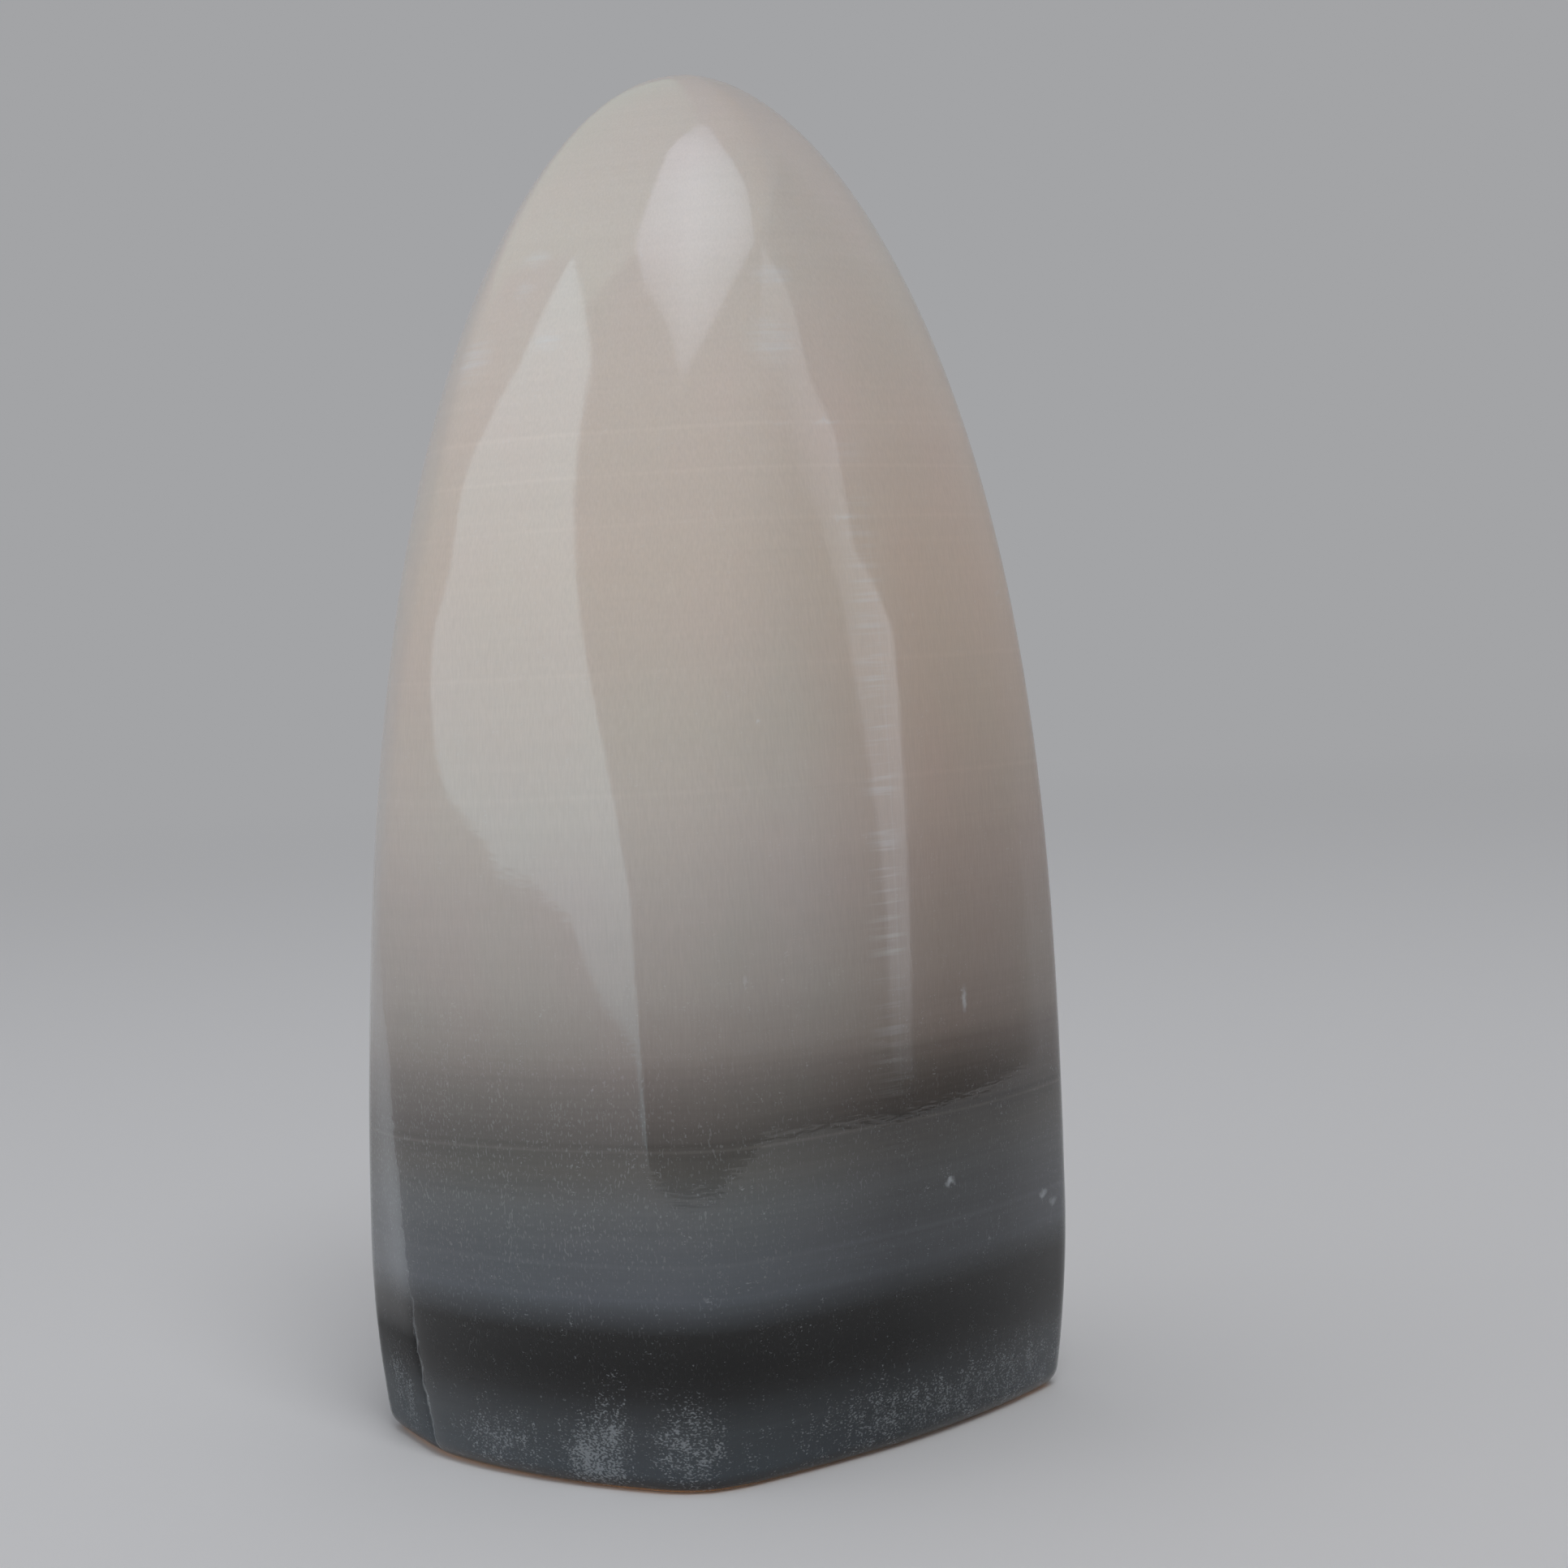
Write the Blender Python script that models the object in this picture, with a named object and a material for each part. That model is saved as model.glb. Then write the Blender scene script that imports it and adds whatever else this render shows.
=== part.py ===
"""A polished, free-standing calcite stone, in metres, +Z up.

The stone is one piece. It was cut flat at the foot and ground by hand into a tall blunt point.
Its walls are a few wide, gently domed faces that run from the foot to the tip and meet in rubbed
ridges: a wide left face and a wide right face with a soft corner between them at the front,
a narrow flank on each side, a slim facet that cuts the left edge low down, and a plainer back.

The shape is worked out as a radius in every direction round an upright axis, at every height:
each ground face gives the distance to its own domed wall, and the nearest wall is the surface.
The front is towards -Y, left is -X, and azimuths turn from the front towards the left.
The origin is at the middle of the foot, under the middle of the outline.
"""
import math
from dataclasses import dataclass

import bmesh
import bpy

# Overall form
HEIGHT = 0.1048
BELLY_HEIGHT = 0.016
TIP_FULLNESS = 2.96
TIP_POINT = 0.543
FOOT_DRAW_IN = 0.046
FOOT_EDGE_RADIUS = 0.0015

# The upright axis leans a little, from its place at the foot to its place at the tip
AXIS_FOOT = (-0.0009, 0.0)
AXIS_TIP = (0.0018, -0.0010)

# The soft corner at the front, from foot to tip
FRONT_CORNER_SOFTNESS = (0.006, 0.008)

# Mesh of the walls
SPOKES = 72
EDGE_RINGS = 3
FOOT_RINGS = 6
WALL_RINGS = 47

STONE_NAME = "calcite_stone"
STONE_COLOUR = "A49B94"
STONE_ROUGHNESS = 0.24
SMOOTH_ANGLE = math.radians(35.0)


@dataclass(frozen=True)
class GroundFace:
    """One gently domed wall, given by its values at the foot and at the tip.

    azimuth: where it faces, in degrees from the front towards the left.
    distance: from the axis, at the belly's full width.
    crown: radius of its doming across.
    softness: how far the ridge it leaves on the earlier faces is rubbed down.
    """

    azimuth: tuple
    distance: tuple
    crown: tuple
    softness: float


LEFT_REAR = GroundFace((135.0, 135.0), (0.0238, 0.0240), (0.060, 0.040), 0.004)
LEFT_FLANK = GroundFace((83.0, 88.0), (0.0275, 0.0244), (0.036, 0.040), 0.005)
LEFT_FACE = GroundFace((44.0, 14.0), (0.0240, 0.0260), (0.052, 0.034), 0.0008)
LEFT_EDGE = GroundFace((63.0, 67.0), (0.02475, 0.0298), (0.150, 0.150), 0.0004)

RIGHT_REAR = GroundFace((-135.0, -135.0), (0.0248, 0.0240), (0.060, 0.040), 0.004)
RIGHT_FLANK = GroundFace((-72.0, -75.0), (0.0309, 0.0257), (0.060, 0.040), 0.008)
RIGHT_FACE = GroundFace((-46.0, -40.0), (0.0218, 0.0251), (0.082, 0.042), 0.0015)
RIGHT_FACET = GroundFace((-43.0, -37.5), (0.02185, 0.0251), (0.120, 0.060), 0.00005)

BACK_FACE = GroundFace((180.0, 180.0), (0.0225, 0.0215), (0.120, 0.060), 0.005)
FRONT_FACE = GroundFace((2.0, 14.0), (0.0300, 0.0208), (0.090, 0.045), 0.002)

LEFT_SIDE = (LEFT_REAR, LEFT_FLANK, LEFT_FACE, LEFT_EDGE)
RIGHT_SIDE = (RIGHT_REAR, RIGHT_FLANK, RIGHT_FACE, RIGHT_FACET)
ACROSS = (BACK_FACE, FRONT_FACE)


def between(foot_and_tip, rise):
    """The value at a height, where rise is 0 at the foot and 1 at the tip."""
    foot, tip = foot_and_tip
    return foot + (tip - foot) * rise


def wall_distance(face, angle, rise):
    """Distance from the axis to a face's domed wall, along an angle, at the belly's width."""
    turn = angle - math.radians(between(face.azimuth, rise))
    curvature = between((1.0 / face.crown[0], 1.0 / face.crown[1]), rise)
    crown = 1.0 / curvature
    behind = crown - between(face.distance, rise)
    half_chord = crown * crown - (behind * math.sin(turn)) ** 2
    return -behind * math.cos(turn) + math.sqrt(half_chord)


def rubbed_minimum(first, second, softness):
    """The nearer of two walls, with the ridge between them rubbed down."""
    overlap = max(softness - abs(first - second), 0.0) / softness
    return min(first, second) - softness * overlap**3 / 6.0


def side_distance(faces, angle, rise):
    """The nearest wall of one side, its faces ground in order."""
    nearest = wall_distance(faces[0], angle, rise)
    for face in faces[1:]:
        nearest = rubbed_minimum(nearest, wall_distance(face, angle, rise), face.softness)
    return nearest


def section_radius(angle, rise):
    """Radius of the stone's section at full width, in one direction from the axis."""
    left = side_distance(LEFT_SIDE, angle, rise)
    right = side_distance(RIGHT_SIDE, angle, rise)
    nearest = rubbed_minimum(left, right, between(FRONT_CORNER_SOFTNESS, rise))
    for face in ACROSS:
        nearest = rubbed_minimum(nearest, wall_distance(face, angle, rise), face.softness)
    return nearest


def width_share(height):
    """Share of the full width at a height: drawn in at the foot, closing round at the tip."""
    if height < BELLY_HEIGHT:
        return 1.0 - FOOT_DRAW_IN * (1.0 - height / BELLY_HEIGHT) ** 2
    rise = (height - BELLY_HEIGHT) / (HEIGHT - BELLY_HEIGHT)
    return max(1.0 - rise**TIP_FULLNESS, 0.0) ** TIP_POINT


def edge_inset(height):
    """How far the rounded lower edge stands back from the wall at a height."""
    if height >= FOOT_EDGE_RADIUS:
        return 0.0
    below = FOOT_EDGE_RADIUS - height
    return FOOT_EDGE_RADIUS - math.sqrt(FOOT_EDGE_RADIUS**2 - below**2)


def surface_point(angle, height):
    """The point of the stone's surface at an angle round the axis and a height."""
    rise = height / HEIGHT
    radius = section_radius(angle, rise) * width_share(height) - edge_inset(height)
    axis_x = between((AXIS_FOOT[0], AXIS_TIP[0]), rise)
    axis_y = between((AXIS_FOOT[1], AXIS_TIP[1]), rise)
    return (axis_x - radius * math.sin(angle), axis_y - radius * math.cos(angle), height)


def ring_heights():
    """Heights of the rings: close on the lower edge, even round the curve of the tip."""
    heights = []
    for step in range(EDGE_RINGS):
        tilt = math.pi / 2.0 * step / EDGE_RINGS
        heights.append(FOOT_EDGE_RADIUS * (1.0 - math.cos(tilt)))
    for step in range(FOOT_RINGS):
        share = step / FOOT_RINGS
        heights.append(FOOT_EDGE_RADIUS + (BELLY_HEIGHT - FOOT_EDGE_RADIUS) * share)
    for step in range(WALL_RINGS):
        climb = math.sin(math.pi / 2.0 * step / WALL_RINGS)
        heights.append(BELLY_HEIGHT + (HEIGHT - BELLY_HEIGHT) * climb)
    return heights


def place_ring(verts, spoke_layer, height):
    """Move a ring's points onto the surface at one height."""
    for vert in verts:
        angle = 2.0 * math.pi * vert[spoke_layer] / SPOKES
        vert.co = surface_point(angle, height)


def grind_walls(bm):
    """Draw the walls up from the foot, ring by ring, and close them at the tip."""
    spoke_layer = bm.verts.layers.int.new("spoke")
    foot = bmesh.ops.create_circle(bm, segments=SPOKES, radius=BELLY_HEIGHT, cap_ends=True)
    for number, vert in enumerate(foot["verts"]):
        vert[spoke_layer] = number
    ring_edges = list(bm.edges)
    heights = ring_heights()
    place_ring(foot["verts"], spoke_layer, heights[0])
    for height in heights[1:]:
        drawn = bmesh.ops.extrude_edge_only(bm, edges=ring_edges)["geom"]
        ring_verts = [item for item in drawn if isinstance(item, bmesh.types.BMVert)]
        ring_edges = [item for item in drawn if isinstance(item, bmesh.types.BMEdge)]
        place_ring(ring_verts, spoke_layer, height)
    drawn = bmesh.ops.extrude_edge_only(bm, edges=ring_edges)["geom"]
    tip_verts = [item for item in drawn if isinstance(item, bmesh.types.BMVert)]
    bmesh.ops.pointmerge(bm, verts=tip_verts, merge_co=surface_point(0.0, HEIGHT))
    bm.verts.layers.int.remove(spoke_layer)


def centre_on_foot(bm):
    """Shift the stone so that the middle of its outline stands over the origin."""
    along_x = [vert.co.x for vert in bm.verts]
    along_y = [vert.co.y for vert in bm.verts]
    middle_x = (min(along_x) + max(along_x)) / 2.0
    middle_y = (min(along_y) + max(along_y)) / 2.0
    bmesh.ops.translate(bm, verts=bm.verts, vec=(-middle_x, -middle_y, 0.0))


def linear_colour(hex_code):
    """Turn an sRGB hex colour into the linear colour that a material takes."""
    channels = []
    for start in (0, 2, 4):
        value = int(hex_code[start:start + 2], 16) / 255.0
        if value <= 0.04045:
            channels.append(value / 12.92)
        else:
            channels.append(((value + 0.055) / 1.055) ** 2.4)
    return (*channels, 1.0)


def polished_calcite():
    """The stone's material: polished translucent calcite in its middle colour."""
    material = bpy.data.materials.new("polished_calcite")
    material.use_nodes = True
    shader = material.node_tree.nodes["Principled BSDF"]
    shader.inputs["Base Color"].default_value = linear_colour(STONE_COLOUR)
    shader.inputs["Roughness"].default_value = STONE_ROUGHNESS
    shader.inputs["Metallic"].default_value = 0.0
    return material


def make_stone():
    """Build the whole stone as one closed body standing on its flat foot."""
    bm = bmesh.new()
    grind_walls(bm)
    centre_on_foot(bm)
    bmesh.ops.recalc_face_normals(bm, faces=bm.faces)
    mesh = bpy.data.meshes.new(STONE_NAME)
    bm.to_mesh(mesh)
    bm.free()
    mesh.shade_smooth()
    mesh.set_sharp_from_angle(angle=SMOOTH_ANGLE)
    mesh.materials.append(polished_calcite())
    stone = bpy.data.objects.new(STONE_NAME, mesh)
    bpy.context.scene.collection.objects.link(stone)
    return stone


def clear_scene():
    """Remove the objects that the scene starts with."""
    for item in list(bpy.data.objects):
        bpy.data.objects.remove(item, do_unlink=True)


clear_scene()
make_stone()
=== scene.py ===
"""The looks of a polished, free-standing calcite stone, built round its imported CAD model.

The stone is a natural thing in one piece: banded calcite, cut flat at the foot and ground by hand
into a tall blunt point with wide, gently domed faces, then polished to a soft gloss.
Everything is in metres, +Z up, with the front corner of the stone towards -Y.
The finish works in millimetres: a height over the foot, and a way round the girth,
which is counted from the front corner and grows towards the left.
"""

import logging
import math
from dataclasses import dataclass, field
from enum import Enum
from typing import Callable

import bpy
import numpy as np
from mathutils import Matrix, Vector


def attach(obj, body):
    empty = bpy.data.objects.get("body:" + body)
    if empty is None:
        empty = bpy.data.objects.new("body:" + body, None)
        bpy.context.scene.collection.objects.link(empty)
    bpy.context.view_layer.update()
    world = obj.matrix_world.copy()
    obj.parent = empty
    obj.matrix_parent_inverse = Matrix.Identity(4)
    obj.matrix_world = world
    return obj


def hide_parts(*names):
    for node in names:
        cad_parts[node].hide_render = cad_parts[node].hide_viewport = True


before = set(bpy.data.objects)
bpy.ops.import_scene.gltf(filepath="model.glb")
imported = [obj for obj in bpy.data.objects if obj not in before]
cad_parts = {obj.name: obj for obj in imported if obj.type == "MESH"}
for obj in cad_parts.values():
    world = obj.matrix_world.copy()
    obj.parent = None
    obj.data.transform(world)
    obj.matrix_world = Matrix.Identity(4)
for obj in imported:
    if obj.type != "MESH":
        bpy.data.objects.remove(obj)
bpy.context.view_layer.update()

BODY = "root"
STONE_NODE = "calcite_stone"

# Names of the meshes' attributes
RIGHT_RIDGE = "right_ridge_mm"
LEFT_RIDGE = "left_ridge_mm"
LIGHT = "light"

MM_PER_METRE = 1000.0
GIRTH_RADIUS_MM = 26.0
# Points closer than this, in metres, count as one
TOUCHING = 1e-6
TOUCHING_DIGITS = 6

# Kinds of node, what they are set to, and the sockets of a mix of colours
MATH = "ShaderNodeMath"
VECTOR_MATH = "ShaderNodeVectorMath"
MAP_RANGE = "ShaderNodeMapRange"
NOISE = "ShaderNodeTexNoise"
MIX = "ShaderNodeMix"
ADD = {"operation": "ADD"}
TIMES = {"operation": "MULTIPLY"}
TIMES_ADD = {"operation": "MULTIPLY_ADD"}
CLAMPED = {"use_clamp": True}
SMOOTH = {"interpolation_type": "SMOOTHSTEP"}
COLOURS = {"data_type": "RGBA"}
SHARE, FIRST, SECOND = 0, 6, 7
MIXED = 2

Socket = bpy.types.NodeSocket
Tree = bpy.types.NodeTree
Point = tuple[float, float, float]
Colour = tuple[float, float, float, float]
Outline = tuple[tuple[float, float], ...]

log = logging.getLogger("calcite")


def linear_colour(hex_code: str) -> Colour:
    """Turn an sRGB hex colour into a linear one.

    Args:
        hex_code: six hexadecimal digits, such as "A49B94".

    Returns:
        Red, green, blue and an alpha of one.
    """
    channels = []
    for start in (0, 2, 4):
        value = int(hex_code[start:start + 2], 16) / 255.0
        if value <= 0.04045:
            channels.append(value / 12.92)
        else:
            channels.append(((value + 0.055) / 1.055) ** 2.4)
    return (*channels, 1.0)


def tinted(light: float, tint: Point) -> Colour:
    """A level of light with a faint tint, as a linear colour."""
    return (*(light * part for part in tint), 1.0)


def add_node(tree: Tree, kind: str, settings: dict | None = None, inputs: dict | None = None,
             output: str | int = 0) -> Socket | None:
    """Add one node with its settings, values and links.

    Args:
        tree: the node tree that takes the node.
        kind: the node's type name.
        settings: attributes of the node itself.
        inputs: a value, or an output to link from, for each input by name or number.
        output: the name or number of the output that is wanted.

    Returns:
        The wanted output, or None where the node has none.
    """
    node = tree.nodes.new(kind)
    for name, value in (settings or {}).items():
        setattr(node, name, value)
    for name, value in (inputs or {}).items():
        if isinstance(value, Socket):
            tree.links.new(value, node.inputs[name])
        else:
            node.inputs[name].default_value = value
    return node.outputs[output] if len(node.outputs) else None


@dataclass(frozen=True)
class GroundFace:
    """One gently domed wall, given by its values at the foot and at the tip.

    azimuth: where it faces, in degrees from the front towards the left.
    distance: from the axis, at the belly's full width.
    crown: radius of its doming across.
    softness: how far the ridge it leaves on the earlier faces is rubbed down.
    """

    azimuth: tuple[float, float]
    distance: tuple[float, float]
    crown: tuple[float, float]
    softness: float


def between(foot_and_tip: tuple[float, float], rise: np.ndarray) -> np.ndarray:
    """The value at a height, where rise is 0 at the foot and 1 at the tip."""
    foot, tip = foot_and_tip
    return foot + (tip - foot) * rise


def rubbed_minimum(first: np.ndarray, second: np.ndarray,
                   softness: float | np.ndarray) -> np.ndarray:
    """The nearer of two walls, with the ridge between them rubbed down."""
    overlap = np.maximum(softness - np.abs(first - second), 0.0) / softness
    return np.minimum(first, second) - softness * overlap**3 / 6.0


@dataclass(frozen=True)
class StoneForm:
    """The stone's form as the CAD model has it: a radius in every direction at every height.

    belly_height: where the walls are fullest.
    tip_fullness, tip_point: the powers that close the walls round at the tip.
    foot_draw_in: the share of the width that is lost at the foot.
    axis_foot, axis_tip: where the leaning axis passes the foot and the tip.
    left_side, right_side, across: the ground faces, in the order they were ground.
    outline_step, outline_rows: how closely the outline is followed to find its middle.
    ridge_steps: how many directions are tried when a ridge is looked for.
    """

    height: float = 0.1048
    belly_height: float = 0.016
    tip_fullness: float = 2.96
    tip_point: float = 0.543
    foot_draw_in: float = 0.046
    foot_edge_radius: float = 0.0015
    axis_foot: tuple[float, float] = (-0.0009, 0.0)
    axis_tip: tuple[float, float] = (0.0018, -0.0010)
    front_corner_softness: tuple[float, float] = (0.006, 0.008)
    left_side: tuple[GroundFace, ...] = (
        GroundFace((135.0, 135.0), (0.0238, 0.0240), (0.060, 0.040), 0.004),
        GroundFace((83.0, 88.0), (0.0275, 0.0244), (0.036, 0.040), 0.005),
        GroundFace((44.0, 14.0), (0.0240, 0.0260), (0.052, 0.034), 0.0008),
        GroundFace((63.0, 67.0), (0.02475, 0.0298), (0.150, 0.150), 0.0004),
    )
    right_side: tuple[GroundFace, ...] = (
        GroundFace((-135.0, -135.0), (0.0248, 0.0240), (0.060, 0.040), 0.004),
        GroundFace((-72.0, -75.0), (0.0309, 0.0257), (0.060, 0.040), 0.008),
        GroundFace((-46.0, -40.0), (0.0218, 0.0251), (0.082, 0.042), 0.0015),
        GroundFace((-43.0, -37.5), (0.02185, 0.0251), (0.120, 0.060), 0.00005),
    )
    across: tuple[GroundFace, ...] = (
        GroundFace((180.0, 180.0), (0.0225, 0.0215), (0.120, 0.060), 0.005),
        GroundFace((2.0, 14.0), (0.0300, 0.0208), (0.090, 0.045), 0.002),
    )
    outline_step: float = 5.0
    outline_rows: int = 400
    ridge_steps: int = 1200

    def wall_distance(self, face: GroundFace, angle: np.ndarray, rise: np.ndarray) -> np.ndarray:
        """Distance from the axis to a face's domed wall.

        Args:
            face: the ground face.
            angle: directions round the axis, in radians from the front towards the left.
            rise: shares of the stone's height, one for each direction.

        Returns:
            The distance in each direction.
        """
        turn = angle - np.radians(between(face.azimuth, rise))
        crown = 1.0 / between((1.0 / face.crown[0], 1.0 / face.crown[1]), rise)
        behind = crown - between(face.distance, rise)
        half_chord = crown * crown - (behind * np.sin(turn)) ** 2
        return -behind * np.cos(turn) + np.sqrt(half_chord)

    def side_distance(self, faces: tuple[GroundFace, ...], angle: np.ndarray,
                      rise: np.ndarray) -> np.ndarray:
        """The nearest wall of one side.

        Args:
            faces: the side's faces, in the order they were ground.
            angle: directions round the axis.
            rise: shares of the stone's height, one for each direction.

        Returns:
            The distance in each direction.
        """
        nearest = self.wall_distance(faces[0], angle, rise)
        for face in faces[1:]:
            nearest = rubbed_minimum(nearest, self.wall_distance(face, angle, rise), face.softness)
        return nearest

    def section_radius(self, angle: np.ndarray, rise: np.ndarray) -> np.ndarray:
        """Radius of the stone's section at full width.

        Args:
            angle: directions round the axis.
            rise: shares of the stone's height, one for each direction.

        Returns:
            The radius in each direction.
        """
        left = self.side_distance(self.left_side, angle, rise)
        right = self.side_distance(self.right_side, angle, rise)
        nearest = rubbed_minimum(left, right, between(self.front_corner_softness, rise))
        for face in self.across:
            nearest = rubbed_minimum(nearest, self.wall_distance(face, angle, rise), face.softness)
        return nearest

    def width_share(self, height: np.ndarray) -> np.ndarray:
        """Share of the full width: drawn in at the foot, closing round at the tip.

        Args:
            height: heights over the foot.

        Returns:
            The share at each height.
        """
        below = np.clip(1.0 - height / self.belly_height, 0.0, 1.0)
        rise = np.clip((height - self.belly_height) / (self.height - self.belly_height), 0.0, 1.0)
        closing = (1.0 - rise**self.tip_fullness) ** self.tip_point
        return (1.0 - self.foot_draw_in * below**2) * closing

    def edge_inset(self, height: np.ndarray) -> np.ndarray:
        """How far the rounded lower edge stands back from the wall.

        Args:
            height: heights over the foot.

        Returns:
            The distance at each height.
        """
        radius = self.foot_edge_radius
        below = np.clip(radius - height, 0.0, radius)
        return radius - np.sqrt(radius**2 - below**2)

    def surface(self, angle: np.ndarray, height: np.ndarray) -> np.ndarray:
        """Points of the surface, before the stone is centred.

        Args:
            angle: directions round the axis, in radians from the front towards the left.
            height: heights over the foot, one for each direction.

        Returns:
            One row of x, y and z for each point.
        """
        rise = height / self.height
        radius = self.section_radius(angle, rise) * self.width_share(height)
        radius = radius - self.edge_inset(height)
        along_x = between((self.axis_foot[0], self.axis_tip[0]), rise) - radius * np.sin(angle)
        along_y = between((self.axis_foot[1], self.axis_tip[1]), rise) - radius * np.cos(angle)
        return np.stack([along_x, along_y, height], axis=-1)

    def centre(self) -> np.ndarray:
        """The middle of the outline seen from above, which stands over the origin.

        Returns:
            Its x and y before the stone is centred.
        """
        angle, height = np.meshgrid(np.radians(np.arange(0.0, 360.0, self.outline_step)),
                                    np.linspace(0.0, self.height, self.outline_rows))
        points = self.surface(angle.ravel(), height.ravel())
        return (points.min(axis=0) + points.max(axis=0))[:2] / 2.0

    def ridge_angle(self, faces: tuple[GroundFace, ...], search: tuple[float, float],
                    heights: np.ndarray) -> np.ndarray:
        """Where the last face of a side meets the others, at each height.

        Args:
            faces: the side's faces, in the order they were ground.
            search: the angles in degrees to look between.
            heights: heights over the foot, from the lowest up.

        Returns:
            The ridge's angle in radians; above the end of the last face, the last one below.
        """
        angles = np.radians(np.linspace(search[0], search[1], self.ridge_steps))
        found = np.full(len(heights), np.radians(sum(search) / 2.0))
        for number, height in enumerate(heights):
            rise = height / self.height
            ahead = self.wall_distance(faces[-1], angles, rise)
            ahead = ahead - self.side_distance(faces[:-1], angles, rise)
            crossings = np.flatnonzero(np.sign(ahead[:-1]) != np.sign(ahead[1:]))
            if len(crossings):
                found[number] = angles[crossings[0]]
            elif number:
                found[number] = found[number - 1]
        return found


@dataclass
class CalciteStone:
    """The stone: a turned blank ground to the form, ring by ring, and dressed.

    ridge_angles: the mean angle in degrees of the right and left ridges, where a spoke runs.
    ridge_search: the angles in degrees between which each ridge is looked for.
    ridge_reach: how far in degrees the spokes beside a ridge are drawn along with it.
    near_ridge: the offsets in degrees of the close-set spokes that keep a ridge crisp.
    spoke_step: the degrees between the other spokes.
    coarse_cuts, fine_cuts: how often the blank is cut, and each of its rings again.
    edge_rings, foot_rings: how many rings the lower edge and the drawn-in foot take.
    even_share: how even the other rings stand, against crowding together towards the tip.
    foot_shares: how much each ring of the underside is smaller than the one before.
    underside_slope, underside_area: what tells the underside from every other face.
    crisp_angle: the angle in degrees from which an edge shows as crisp.
    """

    form: StoneForm = field(default_factory=StoneForm)
    ridge_angles: tuple[float, float] = (-40.0, 64.0)
    ridge_search: tuple[tuple[float, float], ...] = ((-70.0, -30.0), (52.0, 76.0))
    ridge_reach: tuple[float, float] = (25.0, 20.0)
    near_ridge: tuple[float, ...] = (-1.2, -0.7, -0.35, -0.12, 0.0, 0.12, 0.35, 0.7, 1.2)
    spoke_step: float = 1.15
    coarse_cuts: int = 10
    fine_cuts: int = 22
    edge_rings: int = 6
    foot_rings: int = 14
    even_share: float = 0.45
    foot_shares: tuple[float, ...] = (0.96, 0.82, 0.55, 0.25)
    underside_slope: float = -0.99
    underside_area: float = 1e-4
    crisp_angle: float = 40.0

    def spoke_angles(self) -> np.ndarray:
        """Angles of the spokes: even, and close-set at the two ridges.

        Returns:
            The angles in degrees, from -180 up.
        """
        close = [ridge + offset for ridge in self.ridge_angles for offset in self.near_ridge]
        clear = self.near_ridge[-1] + self.spoke_step / 2.0
        even = [angle for angle in np.arange(-180.0, 180.0 - self.spoke_step / 2.0, self.spoke_step)
                if all(abs(angle - ridge) > clear for ridge in self.ridge_angles)]
        return np.sort(np.array(close + even))

    def ring_heights(self, count: int) -> np.ndarray:
        """Heights of the rings: close on the lower edge, even round the curve of the tip.

        Args:
            count: how many rings there are.

        Returns:
            The heights, from the foot up.
        """
        form = self.form
        tilt = np.linspace(0.0, math.pi / 2.0, self.edge_rings + 1)[:-1]
        edge = form.foot_edge_radius * (1.0 - np.cos(tilt))
        foot = np.linspace(form.foot_edge_radius, form.belly_height, self.foot_rings + 1)[:-1]
        climb = np.linspace(0.0, 1.0, count - len(edge) - len(foot))
        eased = np.sin(math.pi / 2.0 * climb)
        share = self.even_share * climb + (1.0 - self.even_share) * eased
        wall = form.belly_height + (form.height - form.belly_height) * share
        return np.concatenate([edge, foot, wall])

    def blank(self) -> bpy.types.Object:
        """Add the blank: a cylinder of the stone's height, cut into level rings.

        Returns:
            The blank.
        """
        bpy.ops.object.select_all(action="DESELECT")
        bpy.ops.mesh.primitive_cylinder_add(vertices=len(self.spoke_angles()),
                                            radius=self.form.belly_height,
                                            depth=self.form.height, end_fill_type="NGON",
                                            location=(0.0, 0.0, self.form.height / 2.0))
        stone = bpy.context.object
        stone.name = STONE_NODE + "_polished"
        stone.data.name = stone.name
        bpy.ops.object.transform_apply(location=True, rotation=True, scale=True)
        bpy.ops.object.mode_set(mode="EDIT")
        for cuts in (self.coarse_cuts, self.fine_cuts):
            self.select_edges(stone, lambda low, high: abs(low.z - high.z) > TOUCHING)
            bpy.ops.mesh.subdivide(number_cuts=cuts)
        bpy.ops.object.mode_set(mode="OBJECT")
        return stone

    @staticmethod
    def select_edges(stone: bpy.types.Object, test: Callable[[Vector, Vector], bool]) -> None:
        """Select some of the edges, and nothing else.

        Args:
            stone: the object in edit mode.
            test: what an edge's two ends have to pass.
        """
        bpy.ops.mesh.select_mode(type="EDGE")
        bpy.ops.mesh.select_all(action="DESELECT")
        bpy.ops.object.mode_set(mode="OBJECT")
        points = stone.data.vertices
        for edge in stone.data.edges:
            low, high = (points[number].co for number in edge.vertices)
            edge.select = test(low, high)
        bpy.ops.object.mode_set(mode="EDIT")

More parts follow.
